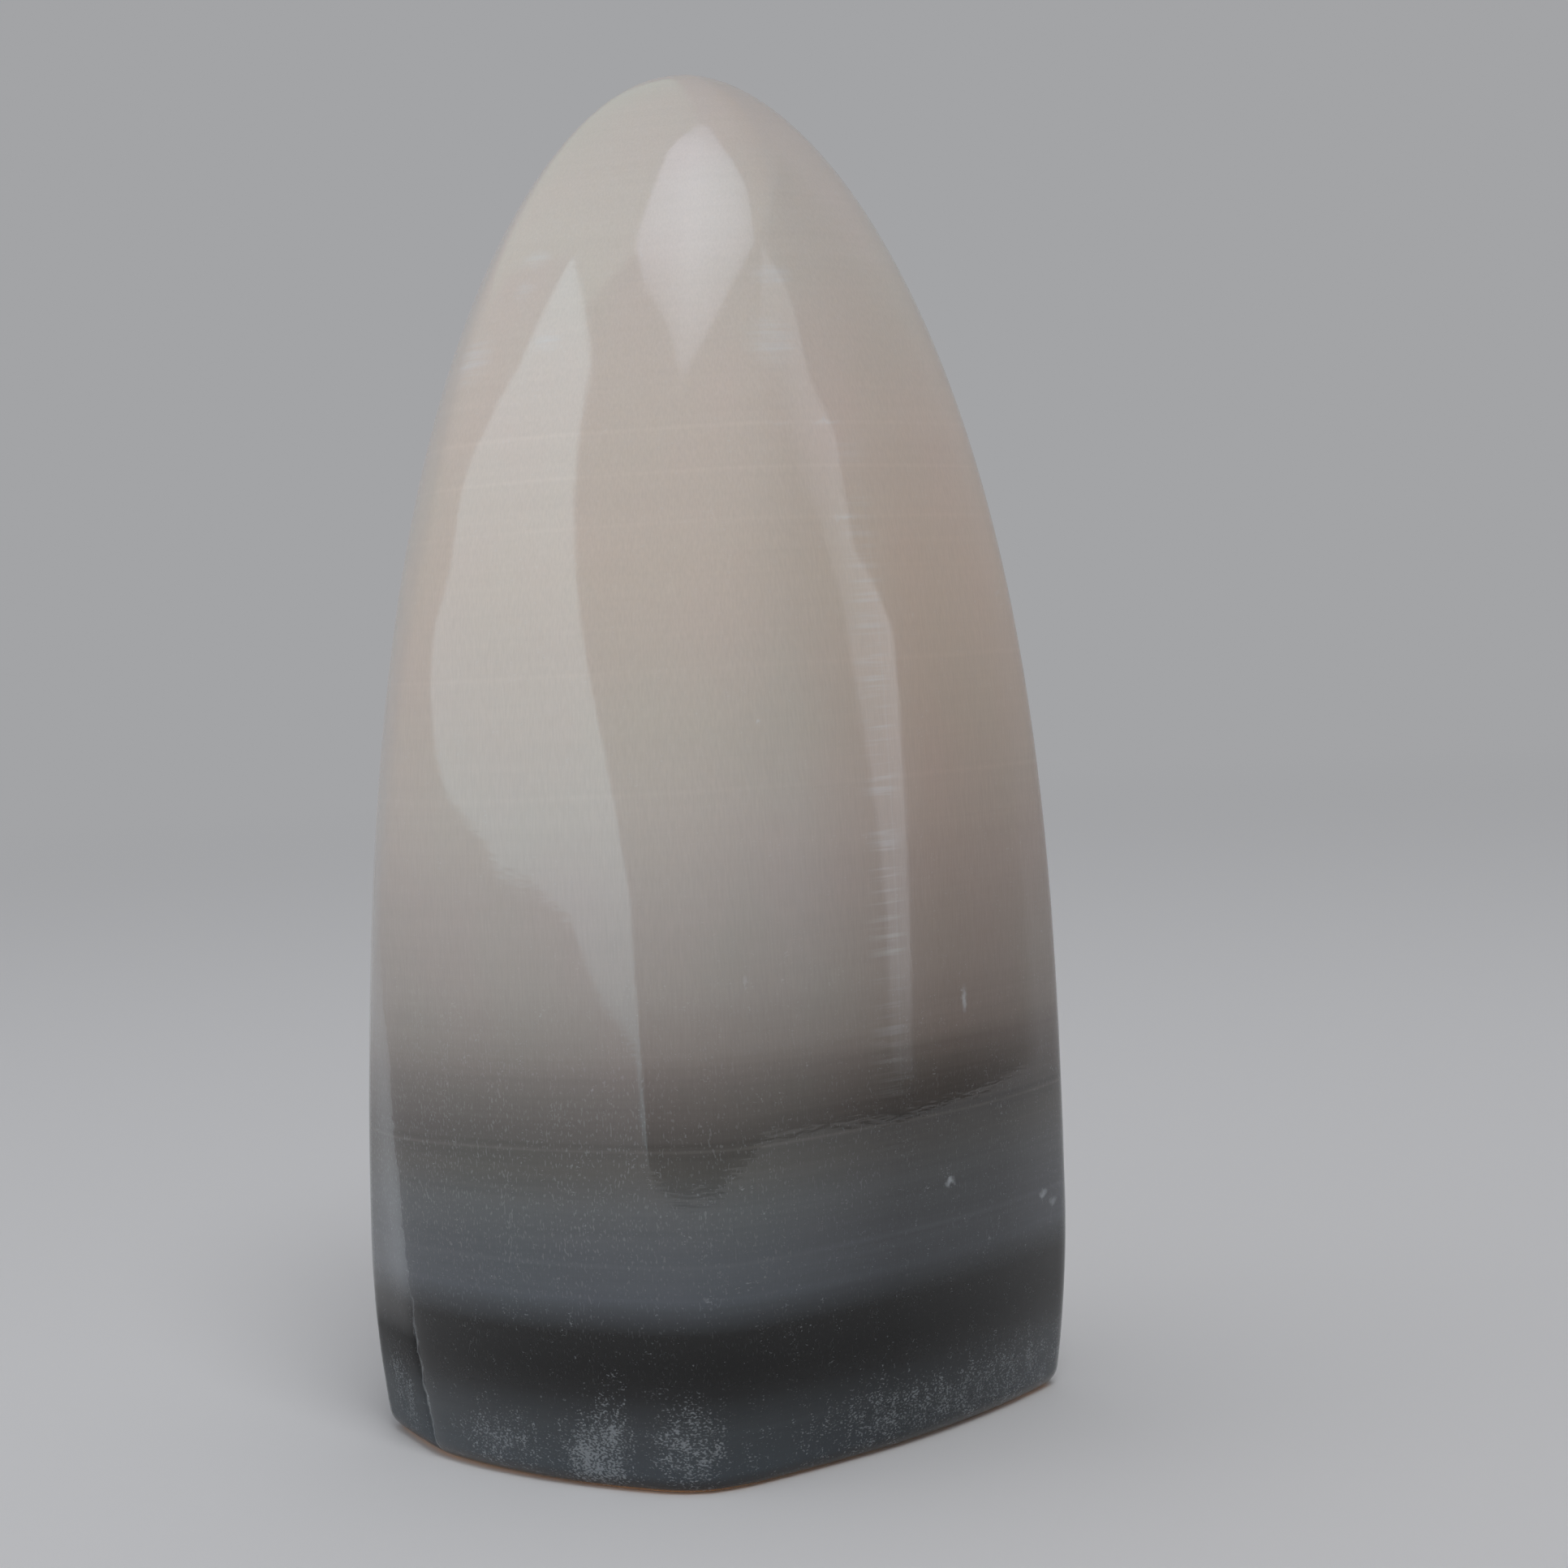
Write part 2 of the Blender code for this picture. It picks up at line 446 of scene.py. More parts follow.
    def grind(self, stone: bpy.types.Object) -> None:
        """Move every point of the blank onto the ground form, its spokes along the ridges.

        Args:
            stone: the blank.
        """
        mesh = stone.data
        places = np.zeros(len(mesh.vertices) * 3)
        mesh.vertices.foreach_get("co", places)
        places = places.reshape(-1, 3)
        levels, ring = np.unique(np.round(places[:, 2], TOUCHING_DIGITS), return_inverse=True)
        heights = self.ring_heights(len(levels))
        spokes = self.spoke_angles()
        turn = np.arctan2(-places[:, 0], -places[:, 1])
        spoke = np.round((turn + math.pi) / (2.0 * math.pi) * len(spokes)).astype(int)
        angle = np.radians(spokes)[spoke % len(spokes)]
        sides = (self.form.right_side, self.form.left_side)
        ridges = [self.form.ridge_angle(side, search, heights)
                  for side, search in zip(sides, self.ridge_search)]
        drawn = angle.copy()
        for mean, reach, ridge in zip(self.ridge_angles, self.ridge_reach, ridges):
            share = np.clip(np.abs(angle - math.radians(mean)) / math.radians(reach), 0.0, 1.0)
            drawn += (ridge[ring] - math.radians(mean)) * (1.0 - share**2) ** 2
        placed = self.form.surface(drawn, heights[ring])
        placed[:, :2] -= self.form.centre()
        mesh.vertices.foreach_set("co", placed.ravel())
        mesh.update()
        girth = np.hypot(placed[:, 0], placed[:, 1]) * MM_PER_METRE
        for name, ridge in zip((RIGHT_RIDGE, LEFT_RIDGE), ridges):
            away = mesh.attributes.new(name, "FLOAT", "POINT")
            away.data.foreach_set("value", (drawn - ridge[ring]) * girth)

    def close(self, stone: bpy.types.Object) -> None:
        """Close the tip to a point, and give the flat foot its own rings.

        Args:
            stone: the ground stone.
        """
        bpy.ops.object.mode_set(mode="EDIT")
        bpy.ops.mesh.select_mode(type="VERT")
        bpy.ops.mesh.select_all(action="SELECT")
        bpy.ops.mesh.remove_doubles(threshold=TOUCHING)
        bpy.ops.mesh.select_mode(type="FACE")
        bpy.ops.mesh.select_all(action="DESELECT")
        bpy.ops.object.mode_set(mode="OBJECT")
        for face in stone.data.polygons:
            face.select = (face.normal.z < self.underside_slope
                           and face.area > self.underside_area)
        bpy.ops.object.mode_set(mode="EDIT")
        for share in self.foot_shares:
            bpy.ops.mesh.extrude_region_move()
            bpy.ops.transform.resize(value=(share, share, 1.0))
        bpy.ops.mesh.merge(type="CENTER")
        bpy.ops.mesh.select_all(action="SELECT")
        bpy.ops.mesh.normals_make_consistent(inside=False)
        bpy.ops.object.mode_set(mode="OBJECT")
        bpy.ops.object.shade_smooth_by_angle(angle=math.radians(self.crisp_angle))

    def build(self, material: bpy.types.Material) -> bpy.types.Object:
        """Make the whole stone and put it on its body in place of the CAD solid.

        Args:
            material: the stone's finish.

        Returns:
            The finished stone.
        """
        stone = self.blank()
        self.grind(stone)
        self.close(stone)
        stone.data.materials.clear()
        stone.data.materials.append(material)
        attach(stone, BODY)
        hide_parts(STONE_NODE)
        log.info("stone: %d faces", len(stone.data.polygons))
        return stone


@dataclass(frozen=True)
class Fade:
    """An even change along a value, such as a height in millimetres.

    start, end: from where to where it runs.
    low, high: what it gives at its start and at its end.
    """

    start: float
    end: float
    low: float = 0.0
    high: float = 1.0

    def along(self, value: Socket) -> dict:
        """The inputs of the node that gives it along a value."""
        return {"Value": value, "From Min": self.start, "From Max": self.end,
                "To Min": self.low, "To Max": self.high}


@dataclass(frozen=True)
class Band:
    """A soft band along a value: its middle, and how far from it the band fades to nothing."""

    middle: float
    half: float

    def mask(self, tree: Tree, value: Socket) -> Socket:
        """A mask that is one in the middle of the band and nothing outside it.

        Args:
            tree: the material's nodes.
            value: what the band lies along.

        Returns:
            The mask.
        """
        away = add_node(tree, MATH, {"operation": "SUBTRACT"}, {0: value, 1: self.middle})
        away = add_node(tree, MATH, {"operation": "ABSOLUTE"}, {0: away})
        return add_node(tree, MAP_RANGE, SMOOTH, Fade(self.half, 0.0).along(away))


@dataclass(frozen=True)
class Grain:
    """A soft random pattern of patches.

    sizes: the size of a patch along x, y and z, in millimetres.
    detail: how many finer patterns lie over it.
    low, high: its usual lowest and highest value.
    cut: the two levels of the noise that give them; the closer they are, the harder its edges.
    """

    sizes: Point
    detail: float = 1.0
    low: float = 0.0
    high: float = 1.0
    cut: tuple[float, float] = (0.25, 0.75)

    def pattern(self, tree: Tree, place: Socket) -> Socket:
        """Draw the pattern in the stone.

        Args:
            tree: the material's nodes.
            place: the place in millimetres.

        Returns:
            The pattern's value.
        """
        stretched = add_node(tree, VECTOR_MATH, {"operation": "DIVIDE"}, {0: place, 1: self.sizes})
        noise = add_node(tree, NOISE, None,
                         {"Vector": stretched, "Scale": 1.0, "Detail": self.detail})
        return add_node(tree, MAP_RANGE, None, Fade(*self.cut, self.low, self.high).along(noise))


@dataclass(frozen=True)
class Layer:
    """One level of the stone's colour: its height in millimetres and its sRGB colour."""

    height: float
    colour: str


@dataclass(frozen=True)
class ThinLine:
    """A thin layer that stands out: its height and thickness in millimetres, and its lift."""

    height: float
    thickness: float
    lift: float


class MarkKind(Enum):
    """What a mark on the polish is."""

    NICK = "nick"
    FROST = "frost"
    BARS = "bars"


@dataclass(frozen=True)
class Mark:
    """A small place on the surface, in millimetres round the girth and up.

    kind: what it is.
    around, height: its middle.
    half_width, half_height: half its size.
    soft: how far its edge fades, as a share of its half size.
    strength: how much it lightens the stone.
    """

    kind: MarkKind
    around: float
    height: float
    half_width: float
    half_height: float
    soft: float
    strength: float


@dataclass(frozen=True)
class StonePlaces:
    """The outputs that say where a point of the stone lies, all but one in millimetres.

    place: the point itself.
    height: the layer it is in, which is its height over the foot but for a faint warp.
    around: the way round the girth from the front corner.
    side: how far round to a side it is, from -1 at the right to 1 at the left.
    skin: the way round and the height as one flat place, its edges roughened.
    right_ridge, left_ridge: the way from the two ridges.
    """

    place: Socket
    height: Socket
    around: Socket
    side: Socket
    skin: Socket
    right_ridge: Socket
    left_ridge: Socket


# The finish also holds painted light: shade on the right side, a highlight on the right ridge, a
# reflection past the left ridge and a glow at the foot
@dataclass(frozen=True)
class PolishedCalcite:
    """Hand-polished banded calcite.

    Calcite is translucent and was laid down in level layers, so light goes a little way in,
    the layers show as soft bands with a few thin bright lines, and the fibrous grain stands
    upright. Hand polishing leaves a soft gloss over that grain, with frosted scuffs where the
    stone rubs and small whitish nicks where a grain broke out.
    """

    name: str = "polished_calcite"
    ior: float = 1.6
    dull_ior: float = 1.47
    worn_ior: float = 1.1
    gloss_roughness: float = 0.04
    frost_roughness: float = 0.35
    full_frost: float = 0.5
    translucency: float = 0.15
    light_depth: float = 0.002
    light_colour_depth: Point = (1.0, 0.75, 0.55)
    # Whitish colour of bruised calcite, also used for the painted ridge highlight and facet
    # reflection
    bruise_and_highlight: str = "E6EEF4"

    # From a bright orange rim at the foot, painted light glowing through the edge, up through the
    # dark band and the slate to mauve-grey
    base_top: float = 36.0
    base_layers: tuple[Layer, ...] = (
        Layer(0.0, "F0B878"), Layer(0.14, "CE965C"), Layer(0.34, "2A241F"),
        Layer(1.4, "42494F"), Layer(4.5, "3F4448"), Layer(7.2, "1F2021"),
        Layer(8.4, "141414"), Layer(9.6, "101010"), Layer(11.6, "131313"),
        Layer(12.6, "363A3E"), Layer(14.2, "555A61"), Layer(17.5, "5B5F64"),
        Layer(20.5, "626567"), Layer(23.2, "62615E"), Layer(24.6, "5F5D5A"),
        Layer(26.4, "6B6764"), Layer(28.9, "7F7A76"), Layer(29.8, "86807C"),
        Layer(31.4, "97918C"), Layer(32.2, "9D9792"), Layer(36.0, "B0AAA5"),
    )
    # From mauve-grey up to the pinkish cream of the tip
    upper_layers: tuple[Layer, ...] = (
        Layer(36.0, "B0AAA5"), Layer(43.0, "C1BAB5"), Layer(48.8, "CCC5BE"),
        Layer(54.5, "D1C9C0"), Layer(66.0, "D9CEC3"), Layer(78.0, "DDD2C9"),
        Layer(92.0, "DBD4CD"), Layer(104.8, "D5CDC8"),
    )
    thin_lines: tuple[ThinLine, ...] = (
        ThinLine(8.4, 0.24, 0.10),
        ThinLine(10.6, 0.24, -0.15),
        ThinLine(16.6, 0.30, 0.09),
        ThinLine(24.8, 0.18, 0.24),
        ThinLine(25.2, 0.32, -0.08),
        ThinLine(50.2, 0.32, 0.025),
        ThinLine(58.9, 0.28, 0.02),
        ThinLine(69.4, 0.24, 0.025),
        ThinLine(73.1, 0.24, 0.035),
        ThinLine(76.3, 0.28, 0.04),
    )
    marks: tuple[Mark, ...] = (
        Mark(MarkKind.FROST, 10.4, 2.6, 4.6, 4.6, 0.8, 0.36),
        Mark(MarkKind.FROST, 9.0, 6.0, 2.9, 4.4, 0.8, 0.26),
        Mark(MarkKind.FROST, 13.0, 2.6, 4.6, 4.6, 0.9, 0.24),
        Mark(MarkKind.FROST, 2.6, 3.8, 4.2, 5.0, 0.7, 0.36),
        Mark(MarkKind.FROST, 22.0, 3.0, 8.0, 3.6, 0.9, 0.34),
        Mark(MarkKind.FROST, 37.0, 4.5, 4.5, 6.0, 0.8, 0.36),
        Mark(MarkKind.FROST, -36.0, 3.0, 18.0, 5.0, 0.9, 0.38),
        Mark(MarkKind.FROST, -18.0, 3.0, 14.0, 4.0, 0.9, 0.32),
        Mark(MarkKind.FROST, 0.0, 1.0, 60.0, 8.0, 0.9, 0.10),
        Mark(MarkKind.NICK, -28.1, 33.0, 0.55, 1.3, 0.9, 0.34),
        Mark(MarkKind.NICK, -25.9, 19.5, 0.95, 0.42, 0.9, 0.36),
        Mark(MarkKind.NICK, -39.9, 16.3, 0.8, 0.5, 0.9, 0.30),
        Mark(MarkKind.NICK, -41.5, 15.5, 0.8, 0.5, 0.9, 0.22),
        Mark(MarkKind.NICK, -3.8, 36.5, 0.14, 0.8, 0.8, 0.16),
        Mark(MarkKind.NICK, -6.3, 54.9, 0.24, 0.24, 0.9, 0.34),
        Mark(MarkKind.NICK, -37.0, 63.3, 0.8, 0.4, 0.9, 0.10),
        Mark(MarkKind.NICK, -16.7, 76.3, 2.2, 0.30, 0.9, 0.22),
        Mark(MarkKind.NICK, -11.3, 76.3, 1.8, 0.26, 0.9, 0.10),
        Mark(MarkKind.NICK, -17.1, 69.3, 1.8, 0.26, 0.9, 0.20),
        Mark(MarkKind.BARS, -14.0, 87.4, 3.8, 1.1, 0.9, 0.34),
        Mark(MarkKind.BARS, -12.3, 82.4, 4.0, 2.5, 0.8, 0.34),
        Mark(MarkKind.BARS, 20.5, 89.9, 3.4, 1.1, 0.9, 0.32),
        Mark(MarkKind.BARS, 20.5, 87.5, 2.2, 1.2, 0.9, 0.32),
        Mark(MarkKind.BARS, 25.6, 82.6, 4.2, 2.4, 0.9, 0.42),
        Mark(MarkKind.BARS, 15.6, 83.5, 2.8, 1.1, 0.9, 0.32),
    )

    # The layers swell up to 0.1 mm out of level, every 25 mm or so
    swell_size: float = 25.0
    swell: Fade = Fade(0.0, 1.0, -0.25, 0.25)
    # The marks' edges are ragged every 0.6 mm
    ragged_size: float = 0.625
    ragged_middle: Point = (0.5, 0.5, 0.0)

    # Soft clouds, pinkish in one place and beige in the next, 8 to 15 mm across
    clouds: Grain = Grain((10.0, 10.0, 13.0), 2.0)
    pink_cast: Colour = (1.018, 0.985, 0.988, 1.0)
    beige_cast: Colour = (0.985, 1.0, 0.985, 1.0)
    # Painted warm shade: the right side is browner in the middle of its height
    painted_warm_shade_side: Fade = Fade(-0.34, -0.80)
    painted_warm_shade_heights: Band = Band(48.0, 46.0)
    painted_warm_shade_cast: Colour = (0.99, 0.895, 0.85, 1.0)

    # Laminations 0.35 mm thick that run on for 22 mm, in bundles of 1.3 mm, strongest low down
    laminations: Grain = Grain((22.0, 22.0, 0.35), 1.0, -1.0)
    bundles: Grain = Grain((30.0, 30.0, 1.3), 1.0, -1.0)
    bundle_share: float = 0.8
    layering: Fade = Fade(26.0, 35.0, 0.045, 0.010)
    # Painted shade: the lower layers are darker towards the right, and darkest low on the right face
    painted_shade_side: Fade = Fade(-0.3, -1.0, 0.0, -0.21)
    painted_shade_heights: Band = Band(36.0, 30.0)
    painted_low_shade_face: Fade = Fade(-4.0, -19.0, 0.0, -0.38)
    painted_low_shade_end: Fade = Fade(-44.0, -34.0)
    painted_low_shade_heights: Fade = Fade(31.0, 25.0)
    # The upright fibres are 0.12 mm across and 1.6 mm long
    fibres: Grain = Grain((0.12, 0.12, 1.6), 1.0, -0.035, 0.035)
    # The thin lines come and go every few millimetres
    line_breaks: Grain = Grain((3.0, 3.0, 30.0), 2.0, 0.5, 1.3)
    # The bars are made of level stripes 0.3 mm thick
    stripes: Grain = Grain((7.0, 7.0, 0.30), 2.0, -0.1)

    # Painted highlight on the right ridge: a fine pale line, crossed by bright teeth at the edges of
    # layers 0.4 mm thick
    painted_highlight_heights: Band = Band(52.0, 34.0)
    painted_highlight_line: Band = Band(0.05, 0.14)
    painted_highlight_line_share: float = 0.25
    painted_highlight_teeth: Grain = Grain((9.0, 9.0, 0.42), 3.0, cut=(0.50, 0.66))
    painted_highlight_reach: Band = Band(0.9, 2.4)
    painted_highlight_strength: float = 0.26
    # Painted reflection on the facet past the left ridge, paler in its upper part; and the ridge
    # chalky at its foot
    facet_ragged: Grain = Grain((1.0, 1.0, 1.3), 3.0, -0.5, 0.5)
    painted_reflection_start: Fade = Fade(0.0, 0.25)
    painted_reflection_reach: Band = Band(1.5, 5.0)
    painted_reflection_low: Fade = Fade(12.0, 15.0)
    painted_reflection_high: Fade = Fade(42.0, 34.0, 0.0, 0.11)
    chalk_line: Band = Band(0.1, 0.3)
    chalk_heights: Fade = Fade(14.0, 10.0, 0.0, 0.14)

    # Crumbs 0.2 mm long, a little coarser than real ones so that they show
    crumbs: Grain = Grain((0.22, 0.22, 0.13))
    crumb_patches: Grain = Grain((0.8, 0.8, 1.8), 3.0, -0.24, 0.24)
    crumb_lift: Fade = Fade(0.90, 1.25, 0.0, 0.22)
    # Broken fibres 0.14 mm wide and 0.3 mm long, which stand in upright streaks
    broken_fibres: Grain = Grain((0.14, 0.14, 0.32), 0.0)
    streaks: Grain = Grain((2.2, 2.2, 40.0), 2.0, -0.10, 0.10)
    broken_side: Fade = Fade(-0.5, 0.37, 0.06, 0.20)
    broken_heights: Band = Band(24.0, 26.0)
    broken_lift: Fade = Fade(0.97, 1.2, 0.0, 0.10)

    # The gloss is duller at the foot, and worn off there past the left ridge
    past_left_ridge: Fade = Fade(-0.2, 0.3)
    dull_foot: Fade = Fade(15.0, 9.0)
    # Fibres and level ripples stand up by about a thousandth of a millimetre
    relief_depth: float = 0.0000015
    raised_fibres: Grain = Grain((0.14, 0.14, 1.2))
    raised_share: float = 0.6
    ripples: Grain = Grain((1.2, 1.2, 0.3))

    def places(self, tree: Tree) -> StonePlaces:
        """Work out where a point lies, from the stone's own coordinates.

        Args:
            tree: the material's nodes.

        Returns:
            The outputs that the other methods read.
        """
        metres = add_node(tree, "ShaderNodeTexCoord", None, None, "Object")
        place = add_node(tree, VECTOR_MATH, {"operation": "SCALE"},
                         {0: metres, "Scale": MM_PER_METRE})
        split = add_node(tree, "ShaderNodeSeparateXYZ", None, {0: place}).node.outputs
        swell = add_node(tree, NOISE, None,
                         {"Vector": place, "Scale": 1.0 / self.swell_size, "Detail": 1.0})
        warp = add_node(tree, MAP_RANGE, {"clamp": False}, self.swell.along(swell))
        height = add_node(tree, MATH, ADD, {0: split["Z"], 1: warp})
        left = add_node(tree, MATH, TIMES, {0: split["X"], 1: -1.0})
        front = add_node(tree, MATH, TIMES, {0: split["Y"], 1: -1.0})
        turn = add_node(tree, MATH, {"operation": "ARCTAN2"}, {0: left, 1: front})
        around = add_node(tree, MATH, TIMES, {0: turn, 1: GIRTH_RADIUS_MM})
        side = add_node(tree, MATH, {"operation": "SINE"}, {0: turn})
        flat = add_node(tree, "ShaderNodeCombineXYZ", None, {"X": around, "Y": split["Z"]})
        ragged = add_node(tree, NOISE, None,
                          {"Vector": place, "Scale": 1.0 / self.ragged_size, "Detail": 3.0}, "Color")
        skin = add_node(tree, VECTOR_MATH, TIMES_ADD, {0: ragged, 1: (1.0, 1.0, 0.0), 2: flat})
        skin = add_node(tree, VECTOR_MATH, {"operation": "SUBTRACT"},
                        {0: skin, 1: self.ragged_middle})
        ridges = [add_node(tree, "ShaderNodeAttribute", {"attribute_name": name}, None, "Fac")
                  for name in (RIGHT_RIDGE, LEFT_RIDGE)]
        return StonePlaces(place, height, around, side, skin, *ridges)

    @staticmethod
    def colour_by_height(tree: Tree, height: Socket, layers: tuple[Layer, ...]) -> Socket:
        """Run a ramp of colours through a stack of layers.

        Args:
            tree: the material's nodes.
            height: the height in millimetres.
            layers: the layers, from the lowest up.

        Returns:
            The colour.
        """
        low, high = layers[0].height, layers[-1].height
        share = add_node(tree, MAP_RANGE, None, Fade(low, high).along(height))
        ramp = add_node(tree, "ShaderNodeValToRGB", None, {0: share})
        stops = ramp.node.color_ramp.elements
        stops[0].color = linear_colour(layers[0].colour)
        stops[-1].color = linear_colour(layers[-1].colour)
        for layer in layers[1:-1]:
            stop = stops.new((layer.height - low) / (high - low))
            stop.color = linear_colour(layer.colour)
        return ramp

    def layer_colour(self, tree: Tree, at: StonePlaces) -> Socket:
        """The stone's colour at each height, from the dark foot to the cream tip, with a painted glow
        along the foot and painted warm shade on the right side.

        Args:
            tree: the material's nodes.
            at: where the point lies.

        Returns:
            The colour.
        """
        base = self.colour_by_height(tree, at.height, self.base_layers)
        upper = self.colour_by_height(tree, at.height, self.upper_layers)
        over = add_node(tree, MATH, {"operation": "GREATER_THAN"}, {0: at.height, 1: self.base_top})
        colour = add_node(tree, MIX, COLOURS, {SHARE: over, FIRST: base, SECOND: upper}, MIXED)
        cloud = self.clouds.pattern(tree, at.place)
        cast = add_node(tree, MIX, COLOURS,
                        {SHARE: cloud, FIRST: self.pink_cast, SECOND: self.beige_cast}, MIXED)
        colour = add_node(tree, VECTOR_MATH, TIMES, {0: colour, 1: cast})
        # Painted warm shade: browner on the right side, in the middle of its height
        right = add_node(tree, MAP_RANGE, None, self.painted_warm_shade_side.along(at.side))
        middle = self.painted_warm_shade_heights.mask(tree, at.height)
        painted_shade = add_node(tree, MATH, TIMES, {0: right, 1: middle})
        return add_node(tree, MIX, COLOURS | {"blend_type": "MULTIPLY"},
                        {SHARE: painted_shade, FIRST: colour, SECOND: self.painted_warm_shade_cast}, MIXED)

    def layer_lift(self, tree: Tree, at: StonePlaces) -> Socket:
        """How much lighter or darker than its colour each point is, round a value of one, with
        painted shade on the right side.

        Args:
            tree: the material's nodes.
            at: where the point lies.

        Returns:
            The factor on the colour.
        """
        fine = self.laminations.pattern(tree, at.place)
        bundle = self.bundles.pattern(tree, at.place)
        both = add_node(tree, MATH, TIMES_ADD, {0: bundle, 1: self.bundle_share, 2: fine})
        depth = add_node(tree, MAP_RANGE, None, self.layering.along(at.height))
        lift = add_node(tree, MATH, TIMES_ADD, {0: both, 1: depth, 2: 1.0})
        # Painted shade: darker towards the right in the lower layers, and darkest low on the right
        # face
        right = add_node(tree, MAP_RANGE, None, self.painted_shade_side.along(at.side))
        painted_shade = self.painted_shade_heights.mask(tree, at.height)
        lift = add_node(tree, MATH, TIMES_ADD, {0: right, 1: painted_shade, 2: lift})
        painted_low_shade = add_node(tree, MAP_RANGE, None, self.painted_low_shade_face.along(at.around))
        end = add_node(tree, MAP_RANGE, None, self.painted_low_shade_end.along(at.around))
        painted_low_shade = add_node(tree, MATH, TIMES, {0: painted_low_shade, 1: end})
        low = add_node(tree, MAP_RANGE, None, self.painted_low_shade_heights.along(at.height))
        lift = add_node(tree, MATH, TIMES_ADD, {0: painted_low_shade, 1: low, 2: lift})
        fibre = self.fibres.pattern(tree, at.place)
        lift = add_node(tree, MATH, ADD, {0: lift, 1: fibre})
        breaks = self.line_breaks.pattern(tree, at.place)
        for line in self.thin_lines:
            mask = Band(line.height, line.thickness).mask(tree, at.height)
            mask = add_node(tree, MATH, TIMES, {0: mask, 1: breaks})
            lift = add_node(tree, MATH, TIMES_ADD, {0: mask, 1: line.lift, 2: lift})
        return lift

    def marked(self, tree: Tree, at: StonePlaces, kind: MarkKind) -> Socket:
        """How strongly the marks of one kind show at each point.

        Args:
            tree: the material's nodes.
            at: where the point lies.
            kind: the kind of mark.

        Returns:
            The sum of the marks' masks, each times its strength.
        """
        total = None
        for mark in self.marks:
            if mark.kind is not kind:
                continue
            share = (1.0 / mark.half_width, 1.0 / mark.half_height, 0.0)
            start = (-mark.around * share[0], -mark.height * share[1], 0.0)
            away = add_node(tree, VECTOR_MATH, TIMES_ADD, {0: at.skin, 1: share, 2: start})
            away = add_node(tree, VECTOR_MATH, {"operation": "LENGTH"}, {0: away}, "Value")
            edge = Fade(1.0, 1.0 - mark.soft, 0.0, mark.strength)
            mask = add_node(tree, MAP_RANGE, SMOOTH, edge.along(away))
            if total is not None:
                mask = add_node(tree, MATH, ADD, {0: total, 1: mask})
            total = mask
        return total

    def right_ridge_painted_highlight(self, tree: Tree, at: StonePlaces) -> Socket:
        """A painted highlight on the right ridge: a fine pale line, and teeth where level layers
        cross it.

        Args:
            tree: the material's nodes.
            at: where the point lies.

        Returns:
            How much the painted highlight lightens the stone.
        """
        # Painted highlight: a fine line along the right ridge and level teeth beside it
        inside = self.painted_highlight_heights.mask(tree, at.height)
        line = self.painted_highlight_line.mask(tree, at.right_ridge)
        painted_highlight_teeth = self.painted_highlight_teeth.pattern(tree, at.place)
        beside = self.painted_highlight_reach.mask(tree, at.right_ridge)
        painted_highlight_teeth = add_node(tree, MATH, TIMES, {0: painted_highlight_teeth, 1: beside})
        both = add_node(tree, MATH, TIMES_ADD, {0: line, 1: self.painted_highlight_line_share, 2: painted_highlight_teeth})
        both = add_node(tree, MATH, TIMES, {0: both, 1: inside})
        return add_node(tree, MATH, TIMES, {0: both, 1: self.painted_highlight_strength})

    def left_ridge_reflection_and_chalk(self, tree: Tree, at: StonePlaces) -> Socket:
        """The painted reflection on the facet past the left ridge, and the chalky line at the ridge's
        foot.

        Args:
            tree: the material's nodes.
            at: where the point lies.

        Returns:
            How much the painted reflection and the chalky line lighten the stone.
        """
        # Painted reflection on the facet past the left ridge, then the chalky line at its foot
        ragged = self.facet_ragged.pattern(tree, at.place)
        left = add_node(tree, MATH, ADD, {0: at.left_ridge, 1: ragged})
        painted_reflection = add_node(tree, MAP_RANGE, None, self.painted_reflection_start.along(left))
        reach = self.painted_reflection_reach.mask(tree, at.left_ridge)
        painted_reflection = add_node(tree, MATH, TIMES, {0: painted_reflection, 1: reach})
        for heights in (self.painted_reflection_low, self.painted_reflection_high):
            share = add_node(tree, MAP_RANGE, None, heights.along(at.height))
            painted_reflection = add_node(tree, MATH, TIMES, {0: painted_reflection, 1: share})
        chalk = self.chalk_line.mask(tree, left)
        foot = add_node(tree, MAP_RANGE, None, self.chalk_heights.along(at.height))
        return add_node(tree, MATH, TIMES_ADD, {0: chalk, 1: foot, 2: painted_reflection})

    def specks(self, tree: Tree, at: StonePlaces, frost: Socket) -> Socket:
        """Fine whitish specks where grains broke out, thickest low down on the left face.

        Args:
            tree: the material's nodes.
            at: where the point lies.
            frost: how strongly the frosted scuffs show.

        Returns:
            How much the specks lighten the stone.
        """
        crumb = self.crumbs.pattern(tree, at.place)
        patchy = self.crumb_patches.pattern(tree, at.place)
        dense = add_node(tree, MATH, ADD, {0: frost, 1: patchy})
        crumb = add_node(tree, MATH, ADD, {0: crumb, 1: dense})
        crumb = add_node(tree, MAP_RANGE, None, self.crumb_lift.along(crumb))
        fibre = self.broken_fibres.pattern(tree, at.place)
        streak = self.streaks.pattern(tree, at.place)
        side = add_node(tree, MAP_RANGE, None, self.broken_side.along(at.side))
        low = self.broken_heights.mask(tree, at.height)
        dense = add_node(tree, MATH, TIMES_ADD, {0: side, 1: low, 2: streak})
        fibre = add_node(tree, MATH, ADD, {0: fibre, 1: dense})
        fibre = add_node(tree, MAP_RANGE, None, self.broken_lift.along(fibre))
        fibre = add_node(tree, MATH, TIMES, {0: fibre, 1: low})
        return add_node(tree, MATH, ADD, {0: crumb, 1: fibre})

